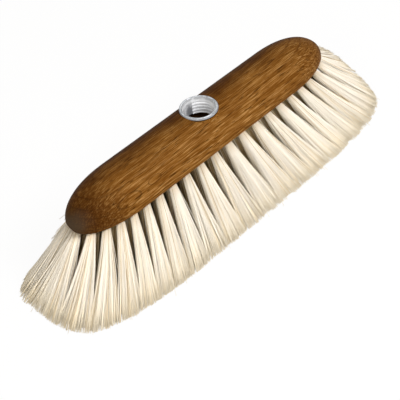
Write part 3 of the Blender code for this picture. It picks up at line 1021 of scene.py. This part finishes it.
@dataclass(frozen=True)
class Trim:
    """The outline to which the hair is cut: a superellipse on the floor, tucked in at one corner."""

    half_length: float = 0.1967
    half_width: float = 0.0674
    power: float = 4.0
    corner_tuck: float = 0.11
    tuck_power: float = 10.0
    end_lift: float = 0.023
    end_flare: float = 0.30
    flare_across: float = 0.47
    flare_from: float = 0.70
    flare_span: float = 0.50

    def rounded(self, reach: Array) -> Array:
        """Directions pushed out to the outline: shares of its half sizes that lie on the superellipse."""
        return reach / np.sum(np.abs(reach) ** self.power, axis=-1, keepdims=True) ** (1 / self.power)

    def flare(self, reach: Array) -> Array:
        """How far the tufts in given directions have sprung out, as those of the +X end have.

        It rises as a smooth step, 3 s^2 - 2 s^3, with the distance towards that end.

        Args:
            reach: Directions, as shares of the outline's half sizes.

        Returns:
            Shares of the end's lift and flare, 0 to 1.
        """
        out = self.rounded(reach) @ np.array((1.0, self.flare_across))
        share = np.clip((out - self.flare_from) / self.flare_span, 0, 1)
        return share**2 * (3 - 2 * share)

    def tips(self, reach: Array, inset: Array) -> Array:
        """Tips that lie in given directions, drawn in from the outline.

        Args:
            reach: Directions, as shares of the outline's half sizes.
            inset: How far inside the outline each tip lies.

        Returns:
            The tips' plan positions.
        """
        reach = self.rounded(reach)
        half = np.array((self.half_length, self.half_width)) - inset[..., None]
        towards = np.clip(reach * (-1, 1), 0, 1).prod(axis=-1, keepdims=True)
        diagonal = 2 * towards / np.sum(reach**2, axis=-1, keepdims=True)
        return reach * (1 - self.corner_tuck * diagonal**self.tuck_power) * half


@dataclass
class Strands:
    """Arrays of hair strands, one row each: where they start, end, bend and what shade they have."""

    root: Array
    tip: Array
    middle_root: Array
    middle_tip: Array
    lean: Array
    top: float
    foot: Array
    thickness: Array
    shade: Array
    wave: Array
    ragged: Array
    stations: int = 6
    station_power: float = 0.9
    flare_power: float = 1.05
    wave_turns: float = 5.0
    facets: int = 3
    taper_at: tuple[float, ...] = (0.0, 0.15, 0.6, 0.9, 1.0)
    taper: tuple[float, ...] = (0.8, 1.0, 1.15, 1.1, 0.85)
    reference: Point = (0.37, 0.93, 0.0)
    map_start: float = 0.01
    map_width: float = 0.94
    map_facet: float = 0.012

    def paths(self) -> Array:
        """Points along each strand.

        A tuft's middle line leaves with the hole's lean and bends to its tip as a parabola. A strand lies
        off that line by an offset that flares, as a power of the way along, from the bundle's size to the
        fan's. A slight wave grows towards its tip, and some tips end a little high.

        Returns:
            Array of (strand, station, 3).
        """
        t = (np.linspace(0, 1, self.stations) ** self.station_power)[None, :, None]
        middle = self.middle_root[:, None] + (self.lean * self.top)[:, None] * t * (1 - t)
        middle = middle + (self.middle_tip - self.middle_root)[:, None] * t**2
        flare = t**self.flare_power
        offset = (self.root - self.middle_root)[:, None] * (1 - flare)
        offset = offset + (self.tip - self.middle_tip)[:, None] * flare
        swing = self.wave[:, None, :2] * np.sin(t * self.wave_turns + self.wave[:, None, 2:]) * t
        plan = middle + offset + swing
        t = t[..., 0]
        height = self.top - (self.top - self.foot[:, None]) * t + self.ragged[:, None] * t**3
        return np.concatenate((plan, np.broadcast_to(height[..., None], (*plan.shape[:2], 1))), axis=-1)

    def tubes(self, path: Array) -> Array:
        """Rings of points round paths: tubes that swell a little and taper to their tips.

        Each ring turns in the plane across its path, from an axis square to the path and to a fixed
        direction that no strand follows.

        Args:
            path: Points along each strand.

        Returns:
            Array of (strand, station, facet, 3).
        """
        along = np.gradient(path, axis=1)
        along /= np.linalg.norm(along, axis=-1, keepdims=True)
        side = np.cross(along, self.reference)
        side /= np.linalg.norm(side, axis=-1, keepdims=True)
        other = np.cross(along, side)
        taper = np.interp(np.linspace(0, 1, self.stations), self.taper_at, self.taper)
        turn = np.arange(self.facets) * 2 * math.pi / self.facets
        radius = (self.thickness[:, None] * taper)[..., None, None]
        ring = side[:, :, None] * np.cos(turn)[:, None] + other[:, :, None] * np.sin(turn)[:, None]
        return path[:, :, None] + radius * ring

    def mesh(self, name: str) -> Mesh:
        """Skins the strands, and maps a strand's shade to U and the way along it to V.

        Args:
            name: Name of the mesh.

        Returns:
            The mesh.
        """
        points = self.tubes(self.paths())
        index = np.arange(points[..., 0].size).reshape(points.shape[:3])
        quads = band_quads(index[:, :-1], index[:, 1:])
        caps = np.concatenate((index[:, 0, ::-1], index[:, -1]))
        mesh = mesh_from_arrays(name, points.reshape(-1, 3), quads, caps)
        mesh.attributes.new("sharp_face", "BOOLEAN", "FACE")
        sharp = np.arange(len(quads) + len(caps)) >= len(quads)
        mesh.attributes["sharp_face"].data.foreach_set("value", sharp)
        across = self.shade[:, None, None] * self.map_width + self.map_start
        across = across + self.map_facet * np.arange(self.facets)
        along = np.linspace(0, 1, self.stations)[:, None]
        place = np.stack(np.broadcast_arrays(across, along), axis=-1)
        place = np.broadcast_to(place, (*points.shape[:3], 2)).reshape(-1, 2)
        corners = np.concatenate((quads.ravel(), caps.ravel()))
        strand_map = mesh.uv_layers.new(name=STRAND_MAP)
        strand_map.data.foreach_set("uv", place[corners].astype(np.float32).ravel())
        return mesh


@dataclass
class TuftRow:
    """One row of tufts: bundles of strands that fan out from drilled holes to the trimmed outline."""

    row: Row
    count: int
    hole_inset: float
    strands: int
    tip_insets: Span = (0.0, 0.0)
    phase: float = 0.0
    lean: float = 0.0
    shade: float = 0.1
    crowding: float = 0.0
    half_span: float = 0.0
    fan: float = 1.16
    straightness: float = 0.85
    locks: int = 26
    gather: float = 0.10
    uneven_cut: float = 0.0009

    def places(self, number: Array) -> Array:
        """Places along the row for tuft numbers, closer at both ends than along the straight sides.

        Args:
            number: Tuft numbers, counted from the +X end; parts of a number lie between two tufts.

        Returns:
            Shares of the row's length.
        """
        share = (number + self.phase) / self.count
        return share - self.crowding / self.count * np.sin(4 * math.pi * share)

    def holes(self, stock: Stock) -> tuple[Array, Array]:
        """Where the row's tufts stand.

        Args:
            stock: The stock that carries them.

        Returns:
            Each tuft's plan position and its outward normal.
        """
        if self.row is Row.CENTRE:
            along = np.linspace(-self.half_span, self.half_span, self.count)
            return np.column_stack((along, 0 * along)), np.tile((0.0, 1.0), (self.count, 1))
        return spaced(stock.outline(self.hole_inset), self.places(np.arange(self.count)))

    def reach(self, stock: Stock, number: Array, outer_inset: float) -> Array:
        """Directions of tips for tuft numbers, as shares of the outer row's half sizes."""
        ring = stock.outline(outer_inset)
        return spaced(ring, self.places(number))[0] / ring.max(axis=0)


@dataclass
class Hair:
    """All the hair of the head: an outer row of single tufts, an inner row and a row down the middle."""

    stock: Stock
    trim: Trim = Trim()
    tuft_radius: float = 0.0029
    sunk: float = 0.0012
    outer_inset: float = 0.0060
    row_spacing: float = 0.0096
    strand_radius: float = 0.00021
    strand_radii: Span = (0.75, 1.25)
    squareness: float = 0.8
    outward: float = 1.6
    inner_flare: float = 0.5
    centre_fan: float = 0.6
    centre_width: float = 0.019
    lock_spread: float = 0.5
    lock_pull: Span = (0.2, 1.2)
    lock_shade: float = 0.22
    shade_spread: float = 0.2
    stray_share: float = 0.015
    stray_by: float = 0.003
    waviness: float = 0.00015
    wave_starts: float = 6.3
    raggedness: float = 0.0005
    seed: int = 7

    def rows(self) -> list[TuftRow]:
        """The three rows, outermost first."""
        inset = self.outer_inset + self.row_spacing
        outer = TuftRow(
            Row.OUTER, count=42, hole_inset=self.outer_inset, strands=720, tip_insets=(-0.0003, 0.0190),
            lean=math.tan(math.radians(32)), shade=0.6, crowding=0.62,
        )
        # The inner and middle rows keep the low default shade, which the hair finish turns tan and dull
        # brown: painted shade for the hair seen between the outer tufts.
        inner = TuftRow(
            Row.INNER, count=36, hole_inset=inset, strands=420, tip_insets=(0.0170, 0.0420),
            lean=math.tan(math.radians(16)), phase=0.5,
        )
        centre = TuftRow(Row.CENTRE, count=13, hole_inset=inset, strands=380, half_span=0.1017)
        return [outer, inner, centre]

    def centre_tips(self, roots: Array, tuft: Array, spread: Array) -> tuple[Array, Array, Array]:
        """Tips of the middle row's strands, which is stretched to the trimmed length.

        Args:
            roots: Plan positions of the row's holes.
            tuft: Each strand's tuft.
            spread: Each strand's place in its fan, -1 to 1 across it and outwards.

        Returns:
            Each strand's tip, the middle of its tuft's tips, and how far it has sprung out.
        """
        stretch = self.trim.half_length / (self.stock.length / 2)
        pitch = (roots[1, 0] - roots[0, 0]) * stretch
        middle_tip = roots[tuft] * (stretch, 0.0)
        tip = middle_tip + spread * (pitch * self.centre_fan, self.centre_width)
        return tip, middle_tip, np.zeros(len(tuft))

    def ring_tips(
        self, row: TuftRow, tuft: Array, spread: Array, cut: Array
    ) -> tuple[Array, Array, Array]:
        """Tips of the outer or inner row's strands, which fill a band inside the trimmed outline.

        Args:
            row: The row.
            tuft: Each strand's tuft.
            spread: Each strand's place in its fan, -1 to 1 across it and outwards.
            cut: How much shorter each strand was cut.

        Returns:
            Each strand's tip, the middle of its tuft's tips, and how far it has sprung out.
        """
        low, high = row.tip_insets
        depth = np.clip(0.5 - 0.5 * spread[:, 1], 0, 1) ** self.outward
        reach = row.reach(self.stock, tuft + 0.5 * row.fan * spread[:, 0], self.outer_inset)
        tip = self.trim.tips(reach, low + (high - low) * depth + cut)
        flare = self.trim.flare(reach) * (1 - self.inner_flare * depth) * (row.row is Row.OUTER)
        middle_reach = row.reach(self.stock, tuft, self.outer_inset)
        middle_tip = self.trim.tips(middle_reach, np.full(len(tuft), (low + high) / 2))
        return tip, middle_tip, flare

    def strands(self, row: TuftRow, which: Array, random: np.random.Generator) -> Strands:
        """Scatters the strands of some of a row's tufts.

        A strand's place in its round bundle, squared off towards the fan's corners, gives its place in
        the fan. From there it is pulled part of the way to the nearest of the tuft's locks, whose cut
        and shade it shares. It leaves its hole with the row's lean, turned towards its tip by the row's
        straightness.

        Args:
            row: The row.
            which: Indices of its tufts.
            random: Source of the scatter.

        Returns:
            The strands.
        """
        tuft = np.repeat(which, row.strands)
        count, locks = len(tuft), (len(which), row.locks)
        turn = random.uniform(0, 2 * math.pi, count)
        far = np.sqrt(random.uniform(0, 1, count))[:, None]
        disc = np.column_stack((np.cos(turn), np.sin(turn))) * far
        spread = disc / np.abs(disc / far).max(axis=1, keepdims=True) ** self.squareness
        lock_at = random.normal(0, self.lock_spread, (*locks, 2))
        own = np.searchsorted(which, tuft)
        lock = own, np.linalg.norm(lock_at[own] - spread[:, None], axis=-1).argmin(axis=1)
        pull = row.gather * random.uniform(*self.lock_pull, (count, 1))
        spread = spread + (lock_at[lock] - spread) * pull
        roots, normals = row.holes(self.stock)
        root, normal = roots[tuft], normals[tuft]
        side = np.column_stack((-normal[:, 1], normal[:, 0]))
        if row.row is Row.CENTRE:
            tip, middle_tip, flare = self.centre_tips(roots, tuft, spread)
        else:
            cut = np.abs(random.normal(0, row.uneven_cut, locks))[lock]
            tip, middle_tip, flare = self.ring_tips(row, tuft, spread, cut)
        lock_shade = random.uniform(-self.lock_shade, self.lock_shade, locks)[lock] * row.shade
        shade = random.normal(row.shade, self.shade_spread, count) + lock_shade
        stray = random.uniform(0, 1, (count, 1)) < self.stray_share
        tip = tip + stray * random.normal(0, self.stray_by, (count, 2))
        top = self.stock.base + self.sunk
        lean = normal * (row.lean + self.trim.end_flare * flare)[:, None]
        lean = lean + ((middle_tip - root) / top - lean) * row.straightness
        thickness = self.strand_radius * random.uniform(*self.strand_radii, count)
        wave = random.normal(0, self.waviness, (count, 2)), random.uniform(0, self.wave_starts, count)
        return Strands(
            root=root + self.tuft_radius * (side * disc[:, :1] + normal * disc[:, 1:]),
            tip=tip,
            middle_root=root,
            middle_tip=middle_tip,
            lean=lean,
            top=top,
            foot=self.trim.end_lift * flare,
            thickness=thickness,
            shade=np.clip(shade, 0, 1),
            wave=np.column_stack(wave),
            ragged=np.abs(random.normal(0, self.raggedness, count)),
        )

    def build(self, finish: Material) -> None:
        """Makes every tuft and dresses it in the hair's finish."""
        random = np.random.default_rng(self.seed)
        for row in self.rows():
            if row.row is Row.OUTER:
                tufts = [f"tuft_{i + 1:02d}" for i in range(row.count)]
                groups = {f"{tuft}_hair": (np.array([i]), tuft) for i, tuft in enumerate(tufts)}
            else:
                parts = enumerate(np.array_split(np.arange(row.count), 3), 1)
                groups = {f"{row.row.value}_hair_{i}": (part, "inner_tufts") for i, part in parts}
            for name, (which, node) in groups.items():
                mesh = self.strands(row, which, random).mesh(name)
                mesh.materials.append(finish)
                add_piece(name, mesh, "pale_horsehair", node)


# --- Studio ---------------------------------------------------------------------------------------------


def seen_ray(tree: Tree) -> Socket:
    """1 for rays from the camera, off gloss or through glass, which show the backdrop; 0 for the rest."""
    path = tree.node("LightPath").outputs
    straight = tree.math("MAXIMUM", path["Is Camera Ray"], path["Is Glossy Ray"])
    return tree.math("MAXIMUM", straight, path["Is Transmission Ray"])


@dataclass(frozen=True)
class Lamp:
    """A square soft lamp."""

    name: str
    at: Point
    size: float
    power: float
    colour: Colour = (1.0, 1.0, 1.0)

    def hang(self, aim: Point) -> None:
        """Adds the lamp to the scene, turned to a point."""
        data = bpy.data.lights.new(self.name, "AREA")
        data.size, data.energy, data.color = self.size, self.power, self.colour
        item = add_object(self.name, data)
        item.location = self.at
        item.rotation_euler = (Vector(self.at) - Vector(aim)).to_track_quat("Z", "Y").to_euler()


@dataclass
class Studio:
    """Floor, lamps and camera. The camera stands where the photograph was taken from.

    To the camera, floor and surround are a near-plain white. An ellipse of the floor under the hair is
    seen as the light falls on it, so that no glow shows between the tufts. Rays that light the head find
    a softer and warmer surround.
    """

    camera_at: Point = (-0.5417, -0.5871, 0.7107)
    azimuth: float = math.radians(-42.13)
    elevation: float = math.radians(42.34)
    roll: float = math.radians(-6.785)
    lens: float = 109.35
    sensor: float = 36.0
    nearest: float = 0.01
    lamps: tuple[Lamp, ...] = (
        Lamp("key", (0.35, -1.12, 1.30), 0.7, 25.0, (1.0, 1.0, 1.02)),
        Lamp("side", (-1.3, -0.7, 0.8), 0.8, 9.5),
    )
    lamp_aim: Point = (0.0, 0.0, 0.05)
    floor_size: float = 8.0
    floor_drop: float = 0.0003
    floor_tone: float = 0.92
    floor_glow: float = 0.94
    shaded_half: tuple[float, float] = (0.175, 0.058)
    shade_edge: Span = (0.9, 1.0)
    surround: float = 0.42
    fill: Colour = (1.0, 0.90, 0.76)

    def camera(self) -> None:
        """Places the camera by its view direction, given as azimuth, elevation and roll."""
        data = bpy.data.cameras.new("camera")
        data.lens, data.sensor_width, data.clip_start = self.lens, self.sensor, self.nearest
        item = add_object("camera", data)
        level, rise = math.cos(self.elevation), math.sin(self.elevation)
        back = Vector((math.sin(self.azimuth) * level, -math.cos(self.azimuth) * level, rise))
        right = Vector((math.cos(self.azimuth), math.sin(self.azimuth), 0.0))
        level_view = Matrix((right, back.cross(right), back)).transposed()
        turned = Matrix.Rotation(self.roll, 3, back) @ level_view
        item.matrix_world = Matrix.Translation(self.camera_at) @ turned.to_4x4()
        bpy.context.scene.camera = item

    def floor_material(self) -> Material:
        """A matt pale floor that glows white to the camera outside the shaded ellipse."""
        material, tree, shader = new_material("floor", Roughness=0.9, Specular_IOR_Level=0.1)
        shader.inputs["Base Color"].default_value = (*(self.floor_tone,) * 3, 1.0)
        glow = tree.node("Emission", {"Strength": 1.0}).outputs[0]
        place = tree.node("TexCoord").outputs["Object"]
        apart = tree.length(tree.vector("DIVIDE", place, (*self.shaded_half, 1.0)))
        open_floor = tree.math("MULTIPLY", tree.remap(apart, self.shade_edge), self.floor_glow)
        share = tree.math("MULTIPLY", seen_ray(tree), open_floor)
        mixed = tree.node("MixShader", {0: share, 1: shader.outputs[0], 2: glow}).outputs[0]
        tree.link(mixed, material.node_tree.nodes["Material Output"].inputs["Surface"])
        return material

    def floor(self) -> None:
        """A wide floor just under the hair tips, which keeps the head's shadow."""
        half = self.floor_size / 2
        corners = np.array([(-half, -half), (half, -half), (half, half), (-half, half)])
        points = np.column_stack((corners, np.full(4, -self.floor_drop)))
        item = add_object("floor", mesh_from_arrays("floor", points, np.arange(4)[None]))
        item.data.materials.append(self.floor_material())

    def world(self) -> None:
        """A plain surround: white to the camera, softer and warmer as light."""
        world = bpy.data.worlds.new("surround")
        world.use_nodes = True
        tree = Tree(world.node_tree)
        background = world.node_tree.nodes["Background"]
        inputs = {"Value": seen_ray(tree), "To Min": self.surround, "To Max": 1.0}
        tree.link(tree.node("MapRange", inputs).outputs["Result"], background.inputs["Strength"])
        tree.link(tree.blend(seen_ray(tree), self.fill, (1.0, 1.0, 1.0)), background.inputs["Color"])
        bpy.context.scene.world = world

    def build(self) -> None:
        """Sets up the whole studio."""
        bpy.context.scene.view_settings.view_transform = "Standard"
        self.camera()
        self.floor()
        self.world()
        for lamp in self.lamps:
            lamp.hang(self.lamp_aim)


# --- Assembly -------------------------------------------------------------------------------------------


def main() -> None:
    """Builds the studio and every sub-assembly."""
    logging.basicConfig(level=logging.INFO, format="%(name)s: %(message)s")
    Studio().build()
    effects = Effects()
    oak = OiledOak()
    # Painted shade: the bore's wood is made near-black, where the drilled hole lies in shade.
    painted_shade = {"ground": (0.05, 0.026, 0.012), "streak": (0.08, 0.04, 0.02), "late": (0.03, 0.014, 0.006)}
    bore_shade = OiledOak(name="shaded_bore_wood", **painted_shade)
    stock = Stock(base=float(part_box("stock")[0][2]))
    stock.build(oak.material(effects), bore_shade.material(effects))
    PoleSocket(top=float(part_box("pole_socket")[1][2])).build(ZincPlate().material(effects))
    Hair(stock).build(PaleHair().material())


if __name__ == "__main__":
    main()
